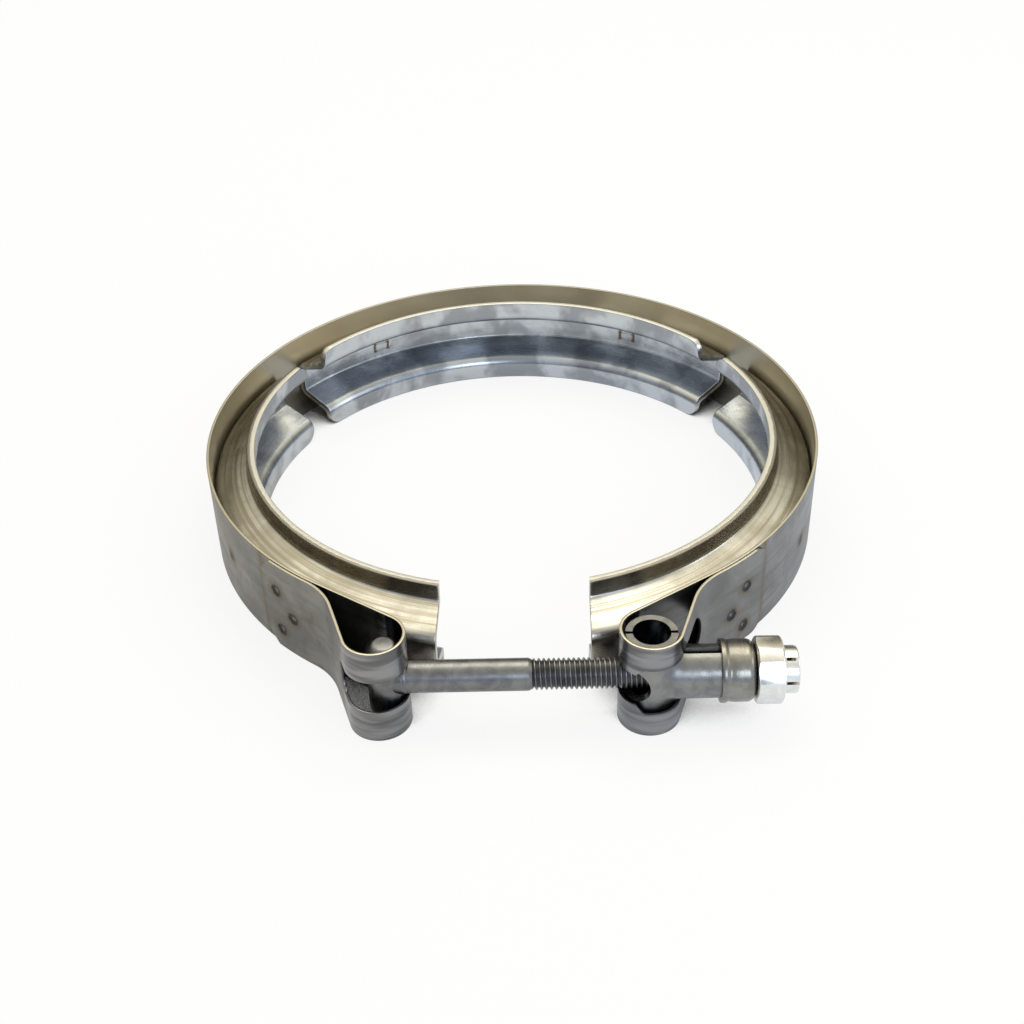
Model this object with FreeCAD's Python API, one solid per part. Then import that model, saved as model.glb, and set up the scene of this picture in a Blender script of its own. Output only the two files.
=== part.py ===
import FreeCAD, Part
import math
import os

# V-band retaining clamp: a strap folded into two loops, three V segments welded inside it,
# and a closure of T-bolt, folded trunnion, ferrule and lock nut.
# The ring's axis is Z and the origin is at its middle. The closure faces -Y.
# Lengths are in millimetres and angles in degrees.

# Strap
strap_outer_radius = 89.4
strap_width = 28.7
strap_thickness = 0.8
flap_gap = 0.15            # between a flap and the strap that it is welded to
flap_run = 25.2            # along the strap, from a loop's centre to where its flap lands
flap_length = 18.7         # along the strap, from there to the flap's free end
flap_corner = 4.8          # cut at 45 degrees on the left flap, rounded on the right one
fold_bend_radius = 20.0    # outer bend between a loop and its flap, at mid sheet

# Loops at the strap's ends
loop_spread = 68.4         # between the two loops' centres
loop_standoff = 10.4       # from the strap's outer face out to a loop's centre
loop_inner_radius = 7.25
window_clearance = 0.8     # above and below the T-bolt in a window
tube_window_clearance = 0.4
window_past_nose = 47.0    # angle of a window behind the loop's nose
window_step_angle = 57.0   # in front of the nose, where the trunnion's window grows taller
window_corner = 2.6
bolt_window_run = 5.2      # of the T-bolt's window past its loop, along the straight sheet
tube_window_run = 16.5     # of the trunnion's window past its loop
tube_window_corner = 5.0

# V segments
segment_sheet = 2.3
segment_height = 28.4
groove_depth = 10.6        # from the lips' inner face out to the groove's floor
groove_half_angle = 20.0
land_half_height = 5.4     # of the outer land, to the legs' sharp corners
lip_bend_radius = 3.8      # outside of the bend between lip and leg
land_bend_radius = 3.1     # outside of the bend between leg and land
segment_span = 105.7       # angle of the rear one
segment_seat_gap = 0.2     # between a segment's land and the strap
rear_gap_angle = 6.6
front_gap = 39.2           # between the two square ends at the closure
lip_corner_radius = 4.2    # at the rear gaps

# T-bolt
thread_radius = 4.0
shank_radius = 4.15
shank_length = 36.6        # from the head's centre to the shank's end
shank_chamfer = 0.9
bolt_tip_recess = 0.4      # of the bolt's end inside the nut's end
bolt_tip_chamfer = 0.8
head_radius = 4.7
head_length = 22.4
head_chamfer = 2.0
head_nose_gap = 0.3        # between the head and the loop that it pulls on
head_weld_size = 0.7

# Trunnion
trunnion_sheet = 1.8
barrel_clearance = 0.75    # all round, in the loop
barrel_recess = 1.3        # of the barrel's ends below the strap's edges
tube_clearance = 1.0       # all round the thread
tube_length = 24.8         # from the barrel's centre
bolt_mouth_edge = 0.4      # from the barrel's centre to the rounded end of the bolt's mouth
seam_width = 0.35
seam_vee = 1.3
barrel_seam_start = 1.6    # of the barrel's seams beyond the tube

# Ferrule
ferrule_fit = 0.03
ferrule_wall = 1.05
ferrule_length = 8.7
ferrule_end_wall = 1.0
ferrule_end_radius = 1.6
ferrule_lip_height = 0.2
ferrule_lip_length = 1.6
ferrule_hole_clearance = 0.5

# Lock nut
nut_across_flats = 16.0
nut_corner_radius = 8.65
nut_height = 6.9
nut_chamfer_angle = 30.0
nut_seat_gap = 0.05
nut_thread_clearance = 0.05
nut_turned = 42.0          # of the flat that faces up and forward, above level
beam_radius = 6.0
beam_length = 3.7
beam_taper = 0.35
beam_slots = 6
beam_slot_width = 0.9
beam_slot_depth = 3.3

# Values that follow from the sizes above
origin = FreeCAD.Vector(0, 0, 0)
x_dir = FreeCAD.Vector(1, 0, 0)
z_dir = FreeCAD.Vector(0, 0, 1)
half_width = strap_width / 2
half_sheet = strap_thickness / 2
strap_mid_radius = strap_outer_radius - half_sheet
flap_mid_radius = strap_outer_radius + flap_gap + half_sheet
loop_mid_radius = loop_inner_radius + half_sheet
loop_outer_radius = loop_inner_radius + strap_thickness
loop_distance = strap_outer_radius + loop_standoff
loop_x = loop_spread / 2
loop_y = -math.sqrt(loop_distance**2 - loop_x**2)
loop_azimuth = math.degrees(math.atan2(loop_x, -loop_y))
tube_inner_radius = thread_radius + tube_clearance
tube_outer_radius = tube_inner_radius + trunnion_sheet
barrel_radius = loop_inner_radius - barrel_clearance
barrel_half_length = half_width - barrel_recess
tube_end_x = loop_x + tube_length
ferrule_end_x = tube_end_x + ferrule_end_wall
nut_start_x = ferrule_end_x + nut_seat_gap
nut_end_x = nut_start_x + nut_height + beam_length
head_x = -loop_x + loop_inner_radius - head_nose_gap - head_radius
bolt_end_x = nut_end_x - bolt_tip_recess
land_outer_radius = strap_outer_radius - strap_thickness - segment_seat_gap
land_inner_radius = land_outer_radius - segment_sheet
lip_inner_radius = land_inner_radius - groove_depth
lip_outer_radius = lip_inner_radius + segment_sheet


def polar(radius, angle, z=0.0):
    turn = math.radians(angle)
    return FreeCAD.Vector(radius * math.cos(turn), radius * math.sin(turn), z)


def arc_length_to_angle(length, radius):
    return math.degrees(length / radius)


def crossed_tangent(centre_1, radius_1, centre_2, radius_2, side):
    # Touching points of the line that runs between two circles, and its angle from circle 1.
    gap = centre_2 - centre_1
    lean = math.degrees(math.acos((radius_1 + radius_2) / gap.Length))
    angle = math.degrees(math.atan2(gap.y, gap.x)) + side * lean
    return centre_1 + polar(radius_1, angle), centre_2 - polar(radius_2, angle), angle


def line_piece(start, end):
    return {"start": start, "end": end, "centre": None}


def arc_piece(centre, radius, start_angle, end_angle):
    middle_angle = (start_angle + end_angle) / 2
    return {
        "start": centre + polar(radius, start_angle),
        "middle": centre + polar(radius, middle_angle),
        "end": centre + polar(radius, end_angle),
        "centre": centre,
        "turn": 1 if end_angle > start_angle else -1,
    }


def shifted_edge(piece, shift):
    # The piece moved to its own left by the shift.
    if piece["centre"] is None:
        along = (piece["end"] - piece["start"]).normalize()
        left = z_dir.cross(along) * shift
        return Part.LineSegment(piece["start"] + left, piece["end"] + left).toShape()
    points = []
    for name in ("start", "middle", "end"):
        spoke = piece[name] - piece["centre"]
        scale = (spoke.Length - piece["turn"] * shift) / spoke.Length
        points.append(piece["centre"] + spoke * scale)
    return Part.Arc(*points).toShape()


def sheet_face(pieces, half_thickness):
    # A face of even thickness along a smooth path in the XY plane.
    left = [shifted_edge(piece, half_thickness) for piece in pieces]
    right = [shifted_edge(piece, -half_thickness) for piece in pieces]
    first, last = pieces[0], pieces[-1]
    caps = []
    for piece, end_name, edges, place in ((first, "start", 0, 0), (last, "end", -1, 1)):
        point_1 = left[edges].Vertexes[0].Point
        point_2 = right[edges].Vertexes[0].Point
        if place == 1:
            point_1 = left[edges].Vertexes[-1].Point
            point_2 = right[edges].Vertexes[-1].Point
        caps.append(Part.LineSegment(point_1, point_2).toShape())
    wire = Part.Wire(Part.__sortEdges__(left + right + caps))
    return Part.Face(wire)


def mirrored(shape):
    return shape.mirror(origin, x_dir)


def cylinder(radius, start, end):
    return Part.makeCylinder(radius, (end - start).Length, start, end - start)


def ring_sector(centre, inner_radius, outer_radius, angle_1, angle_2, z_low, z_high):
    height = z_high - z_low
    base = FreeCAD.Vector(centre.x, centre.y, z_low)
    span = angle_2 - angle_1
    sector = Part.makeCylinder(outer_radius, height, base, z_dir, span)
    sector = sector.cut(Part.makeCylinder(inner_radius, height, base, z_dir))
    sector.rotate(base, z_dir, angle_1)
    return sector


def rounded_plate(start, along, length, half_height, corner, half_depth):
    # An upright plate from a point in the XY plane, with its far corners rounded.
    plate = Part.makeBox(length, 2 * half_depth, 2 * half_height)
    plate.translate(FreeCAD.Vector(0, -half_depth, -half_height))
    far = []
    for edge in plate.Edges:
        middle = edge.CenterOfMass
        if abs(middle.x - length) < 1e-6 and abs(abs(middle.z) - half_height) < 1e-6:
            far.append(edge)
    plate = plate.makeFillet(corner, far)
    plate.rotate(origin, z_dir, math.degrees(math.atan2(along.y, along.x)))
    plate.translate(start)
    return plate


# Strap: its path and its windows are worked out for the left loop, and mirrored

left_loop = FreeCAD.Vector(-loop_x, loop_y, 0)
landing_azimuth = loop_azimuth + arc_length_to_angle(flap_run, strap_outer_radius)
flap_end_azimuth = landing_azimuth + arc_length_to_angle(flap_length, strap_outer_radius)
landing_angle = -90 - landing_azimuth
flap_end_angle = -90 - flap_end_azimuth
fold_centre = polar(flap_mid_radius + fold_bend_radius, landing_angle)
loop_leave, fold_leave, loop_leave_angle = crossed_tangent(
    left_loop, loop_mid_radius, fold_centre, fold_bend_radius, 1
)
run_leave, loop_meet, run_leave_angle = crossed_tangent(
    origin, strap_mid_radius, left_loop, loop_mid_radius, -1
)
fold_start_angle = landing_angle + 180
fold_end_angle = loop_leave_angle + 180 - 360
loop_meet_angle = run_leave_angle + 180


def left_closure_path():
    if fold_end_angle > fold_start_angle:
        raise ValueError("the flap lands too close to its loop")
    return [
        arc_piece(origin, flap_mid_radius, flap_end_angle, landing_angle),
        arc_piece(fold_centre, fold_bend_radius, fold_start_angle, fold_end_angle),
        line_piece(fold_leave, loop_leave),
        arc_piece(left_loop, loop_mid_radius, loop_leave_angle, loop_meet_angle + 360),
        line_piece(loop_meet, run_leave),
    ]


def reversed_mirror(pieces):
    result = []
    for piece in reversed(pieces):
        flipped = dict(piece)
        for name in ("start", "middle", "end", "centre"):
            if piece.get(name) is not None:
                point = piece[name]
                flipped[name] = FreeCAD.Vector(-point.x, point.y, point.z)
        flipped["start"], flipped["end"] = flipped["end"], flipped["start"]
        result.append(flipped)
    return result


def window(half_height, run, corner, from_angle):
    # Angles run from the nose towards the front and on to the flap.
    reach = loop_outer_radius + 1
    core = loop_inner_radius - 1
    leave = 360 - loop_leave_angle
    tool = ring_sector(left_loop, core, reach, -leave - 1, -from_angle, -half_height, half_height)
    along = (fold_leave - loop_leave).normalize()
    plate = rounded_plate(loop_leave, along, run, half_height, corner, strap_thickness * 3)
    return tool.fuse(plate)


def window_end_behind_nose(half_height):
    point = left_loop + polar(loop_mid_radius, 0)
    along = FreeCAD.Vector(0, 1, 0)
    length = loop_mid_radius * math.sin(math.radians(window_past_nose))
    depth = loop_mid_radius * (1 - math.cos(math.radians(window_past_nose))) + strap_thickness
    return rounded_plate(point, along, length, half_height, window_corner, depth)


def flap_corners(strap, tip):
    # The two short edges at the corners of a flap's free end.
    corners = []
    for edge in strap.Edges:
        middle = edge.CenterOfMass
        flat = FreeCAD.Vector(middle.x, middle.y, 0)
        if flat.distanceToPoint(tip) < 1e-3 and abs(abs(middle.z) - half_width) < 1e-3:
            corners.append(edge)
    return corners


def make_strap():
    path = left_closure_path()
    sweep_start = run_leave_angle
    sweep_end = -360 - 180 - run_leave_angle
    path.append(arc_piece(origin, strap_mid_radius, sweep_start, sweep_end))
    path += reversed_mirror(left_closure_path())
    face = sheet_face(path, half_sheet)
    strap = face.extrude(FreeCAD.Vector(0, 0, strap_width))
    strap.translate(FreeCAD.Vector(0, 0, -half_width))

    left_tip = polar(flap_mid_radius, flap_end_angle)
    right_tip = FreeCAD.Vector(-left_tip.x, left_tip.y, 0)
    strap = strap.makeChamfer(flap_corner, flap_corners(strap, left_tip))
    strap = strap.makeFillet(flap_corner, flap_corners(strap, right_tip))

    bolt_half = shank_radius + window_clearance
    tube_half = tube_outer_radius + tube_window_clearance
    left_window = window(bolt_half, bolt_window_run, window_corner, 0)
    left_window = left_window.fuse(window_end_behind_nose(bolt_half))
    right_window = window(tube_half, tube_window_run, tube_window_corner, window_step_angle)
    entry = window(bolt_half, bolt_window_run, window_corner, 0)
    right_window = right_window.fuse([entry, window_end_behind_nose(bolt_half)])
    strap = strap.cut(left_window)
    return strap.cut(mirrored(right_window))


# V segments

def eased_outline(corners):
    # The points of an outline whose corners, given as (point, radius), are sharp at radius 0
    # and otherwise have one flat that touches the middle of the bend's arc.
    points = [corners[0][0]]
    for (before, _), (corner, radius), (after, _) in zip(corners, corners[1:], corners[2:]):
        way_in = (corner - before).normalize()
        way_out = (after - corner).normalize()
        turn = way_in.getAngle(way_out)
        reach = radius * (math.tan(turn / 2) - math.tan(turn / 4))
        points.append(corner - way_in * reach)
        if reach > 0:
            points.append(corner + way_out * reach)
    points.append(corners[-1][0])
    return points


def sheet_side(lip_radius, land_radius, leg_z, lip_bend, land_bend):
    # One face of the rolled sheet, from its upper rim to its lower one.
    upper = [
        (lip_radius, segment_height / 2, 0),
        (lip_radius, leg_z(lip_radius), lip_bend),
        (land_radius, leg_z(land_radius), land_bend),
    ]
    corners = [(FreeCAD.Vector(r, z, 0), bend) for r, z, bend in upper]
    corners += [(FreeCAD.Vector(r, -z, 0), bend) for r, z, bend in reversed(upper)]
    return eased_outline(corners)


def segment_profile():
    slope = math.tan(math.radians(groove_half_angle))
    leg_height = segment_sheet / math.cos(math.radians(groove_half_angle))

    def outer_leg_z(radius):
        return land_half_height + (land_outer_radius - radius) * slope

    def inner_leg_z(radius):
        return outer_leg_z(radius) - leg_height

    outer = sheet_side(lip_outer_radius, land_outer_radius, outer_leg_z, 0, land_bend_radius)
    inner = sheet_side(lip_inner_radius, land_inner_radius, inner_leg_z, lip_bend_radius, 0)
    face = Part.Face(Part.makePolygon(outer + inner[::-1] + [outer[0]]))
    face.rotate(origin, x_dir, 90)
    return face


def lip_corner_tool(angle, z_side, end_side):
    # Takes the square corner off a lip's end and leaves a round one.
    size = lip_corner_radius
    margin = 1.0
    depth = segment_sheet + 2 * margin
    block = Part.makeBox(depth, size + margin, size + margin)
    block.translate(FreeCAD.Vector(lip_inner_radius - margin, -size, -size))
    start = FreeCAD.Vector(lip_inner_radius - 2 * margin, -size, -size)
    end = start + FreeCAD.Vector(depth + 2 * margin, 0, 0)
    block = block.cut(cylinder(size, start, end))
    block.translate(FreeCAD.Vector(0, 0, segment_height / 2))
    if end_side < 0:
        block = block.mirror(origin, FreeCAD.Vector(0, 1, 0))
    if z_side < 0:
        block = block.mirror(origin, z_dir)
    block.rotate(origin, z_dir, angle)
    return block


def make_segment(start, end, rounded_ends):
    segment = segment_profile().revolve(origin, z_dir, end - start)
    segment.rotate(origin, z_dir, start)
    tools = []
    for end_side in rounded_ends:
        angle = start if end_side < 0 else end
        for z_side in (-1, 1):
            tools.append(lip_corner_tool(angle, z_side, end_side))
    return segment.cut(tools)


def make_left_segment():
    # It runs from the rear gap past the front gap's edge, where it is cut off square.
    start = 90 + segment_span / 2 + rear_gap_angle
    gap = Part.makeBox(front_gap, land_outer_radius * 2, segment_height * 2)
    gap.translate(FreeCAD.Vector(-front_gap / 2, -land_outer_radius * 2, -segment_height))
    end = 270 - math.degrees(math.asin(front_gap / 2 / land_outer_radius)) / 2
    return make_segment(start, end, [-1]).cut(gap)


# T-bolt

def turned(points, x_shift):
    # A solid turned about the bolt's axis, from (distance along X, radius) points.
    outline = [FreeCAD.Vector(x + x_shift, radius, 0) for x, radius in points]
    face = Part.Face(Part.makePolygon(outline + [outline[0]]))
    solid = face.revolve(origin, x_dir, 360)
    solid.translate(FreeCAD.Vector(0, loop_y, 0))
    return solid


def make_bolt_head():
    half = head_length / 2
    bottom = FreeCAD.Vector(head_x, loop_y, -half)
    bar = Part.makeCylinder(head_radius, head_length, bottom, z_dir)
    ends = [edge for edge in bar.Edges if abs(abs(edge.CenterOfMass.z) - half) < 1e-6]
    return bar.makeChamfer(head_chamfer, ends)


def make_bolt_stud():
    shank_end = head_x + shank_length
    points = [
        (head_x, 0),
        (head_x, shank_radius + head_weld_size),
        (head_x + head_radius, shank_radius + head_weld_size * 0.8),
        (head_x + head_radius + head_weld_size, shank_radius),
        (shank_end - shank_chamfer, shank_radius),
        (shank_end, thread_radius),
        (bolt_end_x - bolt_tip_chamfer, thread_radius),
        (bolt_end_x, thread_radius - bolt_tip_chamfer),
        (bolt_end_x, 0),
    ]
    stud = turned(points, 0)
    half = head_length / 2
    bottom = FreeCAD.Vector(head_x, loop_y, -half)
    return stud.cut(Part.makeCylinder(head_radius, head_length, bottom, z_dir))


# Trunnion, folded from one blank and left with its seams open

def make_trunnion():
    centre = FreeCAD.Vector(loop_x, loop_y, 0)
    bottom = centre - z_dir * barrel_half_length
    length = 2 * barrel_half_length
    tube_end = FreeCAD.Vector(tube_end_x, loop_y, 0)
    body = Part.makeCylinder(barrel_radius, length, bottom, z_dir)
    body = body.fuse(cylinder(tube_outer_radius, centre, tube_end))
    bore = Part.makeCylinder(barrel_radius - trunnion_sheet, length, bottom, z_dir)
    body = body.cut([bore, cylinder(tube_inner_radius, centre, tube_end)])

    mouth_half = shank_radius + window_clearance
    mouth_start = centre - x_dir * (bolt_mouth_edge + mouth_half)
    reach = FreeCAD.Vector(0, barrel_radius * 2, 0)
    mouth = cylinder(mouth_half, mouth_start - reach, mouth_start + reach)
    opening = Part.makeBox(barrel_radius * 2, 4 * barrel_radius, 2 * mouth_half)
    opening.translate(mouth_start - FreeCAD.Vector(barrel_radius * 2, 2 * barrel_radius, mouth_half))
    mouth = mouth.fuse(opening)

    seam_start = tube_outer_radius + barrel_seam_start
    seam_length = barrel_half_length - seam_start + 1
    seam_cuts = []
    for z in (seam_start, -seam_start - seam_length):
        seam = Part.makeBox(4 * barrel_radius, seam_width, seam_length)
        seam.translate(centre + FreeCAD.Vector(-2 * barrel_radius, -seam_width / 2, z))
        seam_cuts.append(seam)
    vee = Part.makePolygon([
        FreeCAD.Vector(0, -seam_vee / 2, tube_outer_radius + 0.1),
        FreeCAD.Vector(0, seam_vee / 2, tube_outer_radius + 0.1),
        FreeCAD.Vector(0, 0, tube_outer_radius - seam_vee),
        FreeCAD.Vector(0, -seam_vee / 2, tube_outer_radius + 0.1),
    ])
    groove = Part.Face(vee).extrude(FreeCAD.Vector(tube_length, 0, 0))
    groove.translate(centre + FreeCAD.Vector(barrel_radius * 0.9, 0, 0))
    return body.cut([mouth, groove] + seam_cuts)


def make_ferrule():
    start = ferrule_end_x - ferrule_length
    bore = tube_outer_radius + ferrule_fit
    outer = bore + ferrule_wall
    hole = thread_radius + ferrule_hole_clearance
    lip = outer + ferrule_lip_height
    flat = ferrule_end_radius * (1 - math.tan(math.radians(22.5)))
    points = [
        (start, bore),
        (start, lip),
        (start + ferrule_lip_length, lip),
        (start + ferrule_lip_length, outer),
        (ferrule_end_x - flat, outer),
        (ferrule_end_x, outer - flat),
        (ferrule_end_x, hole),
        (tube_end_x, hole),
        (tube_end_x, bore),
    ]
    return turned(points, 0)


def make_lock_nut():
    across_corners = nut_across_flats / math.cos(math.radians(30))
    corners = [polar(across_corners / 2, 60 * i + 30) for i in range(7)]
    hexagon = Part.Face(Part.makePolygon(corners)).extrude(FreeCAD.Vector(0, 0, nut_height))
    hexagon.rotate(origin, FreeCAD.Vector(0, 1, 0), 90)
    hexagon.rotate(origin, x_dir, 180 - nut_turned)
    hexagon.translate(FreeCAD.Vector(nut_start_x, loop_y, 0))
    flat_radius = nut_across_flats / 2 - 0.3
    fall = (nut_corner_radius - flat_radius) * math.tan(math.radians(nut_chamfer_angle))
    rounding = turned([
        (0, 0),
        (0, flat_radius),
        (fall, nut_corner_radius),
        (nut_height - fall, nut_corner_radius),
        (nut_height, flat_radius),
        (nut_height, 0),
    ], nut_start_x)
    beam_start = nut_start_x + nut_height
    crown = turned([
        (-0.5, 0),
        (-0.5, beam_radius),
        (beam_length - beam_taper * 2, beam_radius),
        (beam_length, beam_radius - beam_taper),
        (beam_length, 0),
    ], beam_start)
    bore = thread_radius + nut_thread_clearance
    hole = turned([(-1, 0), (-1, bore), (nut_height + beam_length + 1, bore),
                   (nut_height + beam_length + 1, 0)], nut_start_x)
    nut = hexagon.common(rounding).fuse(crown).cut(hole)
    axis_point = FreeCAD.Vector(0, loop_y, 0)
    slots = []
    for i in range(beam_slots):
        slot = Part.makeBox(beam_slot_depth + 1, beam_slot_width, beam_radius + 1)
        place = FreeCAD.Vector(nut_end_x - beam_slot_depth, loop_y - beam_slot_width / 2, 0)
        slot.translate(place)
        slot.rotate(axis_point, x_dir, 360 / beam_slots * (i + 0.5) + 90 - nut_turned)
        slots.append(slot)
    return nut.cut(slots)


left_segment = make_left_segment()
parts = {
    "strap": make_strap(),
    "left_segment": left_segment,
    "rear_segment": make_segment(90 - segment_span / 2, 90 + segment_span / 2, [-1, 1]),
    "right_segment": mirrored(left_segment),
    "t_bolt_head": make_bolt_head(),
    "t_bolt_stud": make_bolt_stud(),
    "trunnion": make_trunnion(),
    "ferrule": make_ferrule(),
    "lock_nut": make_lock_nut(),
}

os.makedirs("parts", exist_ok=True)
for node, shape in parts.items():
    print(node, shape.ShapeType, len(shape.Solids), shape.isValid(), round(shape.Volume, 1))
    shape.exportStep("parts/" + node + ".step")
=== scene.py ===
import math

import bmesh
import bpy
from mathutils import Matrix, Vector, noise


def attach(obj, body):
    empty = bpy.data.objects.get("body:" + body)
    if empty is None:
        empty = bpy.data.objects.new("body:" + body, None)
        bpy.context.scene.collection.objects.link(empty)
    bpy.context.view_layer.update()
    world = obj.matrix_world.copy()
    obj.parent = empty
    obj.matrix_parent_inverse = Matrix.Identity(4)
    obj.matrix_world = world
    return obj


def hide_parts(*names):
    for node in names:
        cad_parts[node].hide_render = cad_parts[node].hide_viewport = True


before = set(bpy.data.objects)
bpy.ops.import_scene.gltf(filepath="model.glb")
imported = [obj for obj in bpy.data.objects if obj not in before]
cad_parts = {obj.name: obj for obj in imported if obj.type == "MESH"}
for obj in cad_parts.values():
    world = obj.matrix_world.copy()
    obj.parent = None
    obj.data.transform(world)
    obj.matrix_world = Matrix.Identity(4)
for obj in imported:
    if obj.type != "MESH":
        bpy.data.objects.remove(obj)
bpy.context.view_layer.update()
print("stage 1: frame loaded")

mm = 0.001


# Small helpers

def polar(radius, degrees, z=0.0):
    turn = math.radians(degrees)
    return Vector((radius * math.cos(turn), radius * math.sin(turn), z))


def everything(bm):
    return bm.verts[:] + bm.edges[:] + bm.faces[:]


def withEdges(faces):
    edges = {edge for face in faces for edge in face.edges}
    verts = {vert for face in faces for vert in face.verts}
    return faces + list(edges) + list(verts)


def bisect(bm, point, normal, geom=None, clear=False):
    bmesh.ops.bisect_plane(
        bm, geom=geom or everything(bm), dist=1e-6, plane_co=point, plane_no=normal, clear_outer=clear
    )


def meshObject(name, bm):
    mesh = bpy.data.meshes.new(name)
    bm.to_mesh(mesh)
    bm.free()
    made = bpy.data.objects.new(name, mesh)
    bpy.context.scene.collection.objects.link(made)
    return made


def removeObject(used):
    mesh = used.data
    bpy.data.objects.remove(used)
    bpy.data.meshes.remove(mesh)


def makePiece(name, bm, material, body, node, smooth=50):
    # the finished piece, in metres, on its body and in place of its solid
    bmesh.ops.recalc_face_normals(bm, faces=bm.faces[:])
    piece = meshObject(name, bm)
    mesh = piece.data
    mesh.transform(Matrix.Scale(mm, 4))
    mesh.materials.append(material)
    mesh.polygons.foreach_set("use_smooth", [True] * len(mesh.polygons))
    mesh.set_sharp_from_angle(angle=math.radians(smooth))
    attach(piece, body)
    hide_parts(node)
    return piece


def applyModifiers(piece):
    graph = bpy.context.evaluated_depsgraph_get()
    finished = bpy.data.meshes.new_from_object(piece.evaluated_get(graph))
    piece.modifiers.clear()
    old = piece.data
    piece.data = finished
    finished.name = old.name
    bpy.data.meshes.remove(old)


def booleanCut(bm, cutters, operation="DIFFERENCE"):
    # bm and every cutter are closed; gives back a new bmesh
    target = meshObject("cutting", bm)
    tools = [meshObject("cutting", cutter) for cutter in cutters]
    for tool in tools:
        change = target.modifiers.new("cut", "BOOLEAN")
        change.operation = operation
        change.solver = "EXACT"
        change.object = tool
    applyModifiers(target)
    result = bmesh.new()
    result.from_mesh(target.data)
    for used in [target] + tools:
        removeObject(used)
    return result


def cutOutline(bm, outline):
    # removes a convex outline, counterclockwise, from a flat sheet in XY
    low = min(point.x for point in outline) - 0.5
    high = max(point.x for point in outline) + 0.5
    bisect(bm, Vector((low, 0, 0)), Vector((1, 0, 0)))
    bisect(bm, Vector((high, 0, 0)), Vector((1, 0, 0)))
    sides = []
    for i, start in enumerate(outline):
        along = outline[(i + 1) % len(outline)] - start
        if along.length > 1e-6:
            sides.append((start, Vector((along.y, -along.x, 0)).normalized()))
    for start, normal in sides:
        near = [face for face in bm.faces if low < face.calc_center_median().x < high]
        bisect(bm, start, normal, withEdges(near))
    inside = []
    for face in bm.faces:
        middle = face.calc_center_median()
        if all((middle - start).dot(normal) < 0 for start, normal in sides):
            inside.append(face)
    bmesh.ops.delete(bm, geom=inside, context="FACES")


def roundedOutline(x1, x2, halfHeight, radius1, radius2, steps1=7, steps2=7):
    # radius1 at the low x end, radius2 at the high x end; one step is a straight chamfer
    points = []
    for x, side, radius, start, steps in (
        (x2, 1, radius2, 0, steps2), (x1, 1, radius1, 90, steps1),
        (x1, -1, radius1, 180, steps1), (x2, -1, radius2, 270, steps2),
    ):
        inward = -1 if x == x2 else 1
        centre = Vector((x + inward * radius, side * (halfHeight - radius), 0))
        for i in range(steps + 1):
            points.append(centre + polar(radius, start + 90 * i / steps))
    return points


def trimCorner(bm, x, y, radius, steps):
    # rounds an outer corner of the sheet at (x, y); one step is a straight chamfer
    sideX = 1 if x > 0 else -1
    sideY = 1 if y > 0 else -1
    centre = Vector((x - sideX * radius, y - sideY * radius, 0))
    for i in range(steps):
        angle = 90 * (i + 0.5) / steps
        direction = polar(1, angle)
        direction.x *= sideX
        direction.y *= sideY
        reach = radius * math.cos(math.radians(45 / steps)) if steps > 1 else radius * math.sqrt(0.5)
        near = [
            face for face in bm.faces
            if any((v.co.x - centre.x) * sideX > -1e-6 and (v.co.y - centre.y) * sideY > -1e-6
                   for v in face.verts)
        ]
        bisect(bm, centre + direction * reach, direction, withEdges(near), clear=True)


def flatBlank(length, width):
    bm = bmesh.new()
    bmesh.ops.create_grid(bm, x_segments=1, y_segments=1, size=0.5)
    bmesh.ops.scale(bm, vec=(length, width, 1), verts=bm.verts[:])
    return bm


def supportLoop(bm, width, columns=()):
    # the outline and the columns are kept, and every edge of the sheet gets a narrow ring inside it
    def spare(edge):
        first, second = edge.verts[0].co.x, edge.verts[1].co.x
        level = abs(first - second) < 1e-4 and any(abs(first - column) < 1e-4 for column in columns)
        return not edge.is_boundary and not level

    bmesh.ops.dissolve_edges(bm, edges=[edge for edge in bm.edges if spare(edge)], use_verts=False)
    straight = [vert for vert in bm.verts if len(vert.link_edges) == 2 and vert.calc_edge_angle(1) < 1e-3]
    bmesh.ops.dissolve_verts(bm, verts=straight)
    bmesh.ops.inset_region(bm, faces=bm.faces[:], thickness=width, use_boundary=True, use_even_offset=True)


def sliceAt(bm, positions, axis=0, within=None):
    normal = Vector((0, 0, 0))
    normal[axis] = 1
    for position in positions:
        point = Vector((0, 0, 0))
        point[axis] = position
        geom = None
        if within:
            low, high = within
            geom = withEdges([face for face in bm.faces if low < face.calc_center_median()[1 - axis] < high])
        bisect(bm, point, normal, geom)


def thicken(bm, thickness, rim, segments):
    # the flat sheet gets its thickness about z = 0 and its edges a small round
    bmesh.ops.remove_doubles(bm, verts=bm.verts[:], dist=0.03)
    bmesh.ops.recalc_face_normals(bm, faces=bm.faces[:])
    bmesh.ops.solidify(bm, geom=bm.faces[:], thickness=thickness)
    middle = sum((vert.co.z for vert in bm.verts)) / len(bm.verts)
    bmesh.ops.translate(bm, vec=(0, 0, -middle), verts=bm.verts[:])
    bmesh.ops.recalc_face_normals(bm, faces=bm.faces[:])
    rims = [edge for edge in bm.edges if edge.is_manifold and edge.calc_face_angle() > 1.0
            and abs(edge.verts[0].co.z - edge.verts[1].co.z) < 1e-4]
    bmesh.ops.bevel(
        bm, geom=rims, offset=rim, offset_type="OFFSET", segments=segments, profile=0.5,
        affect="EDGES", material=-1, clamp_overlap=False,
    )


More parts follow.
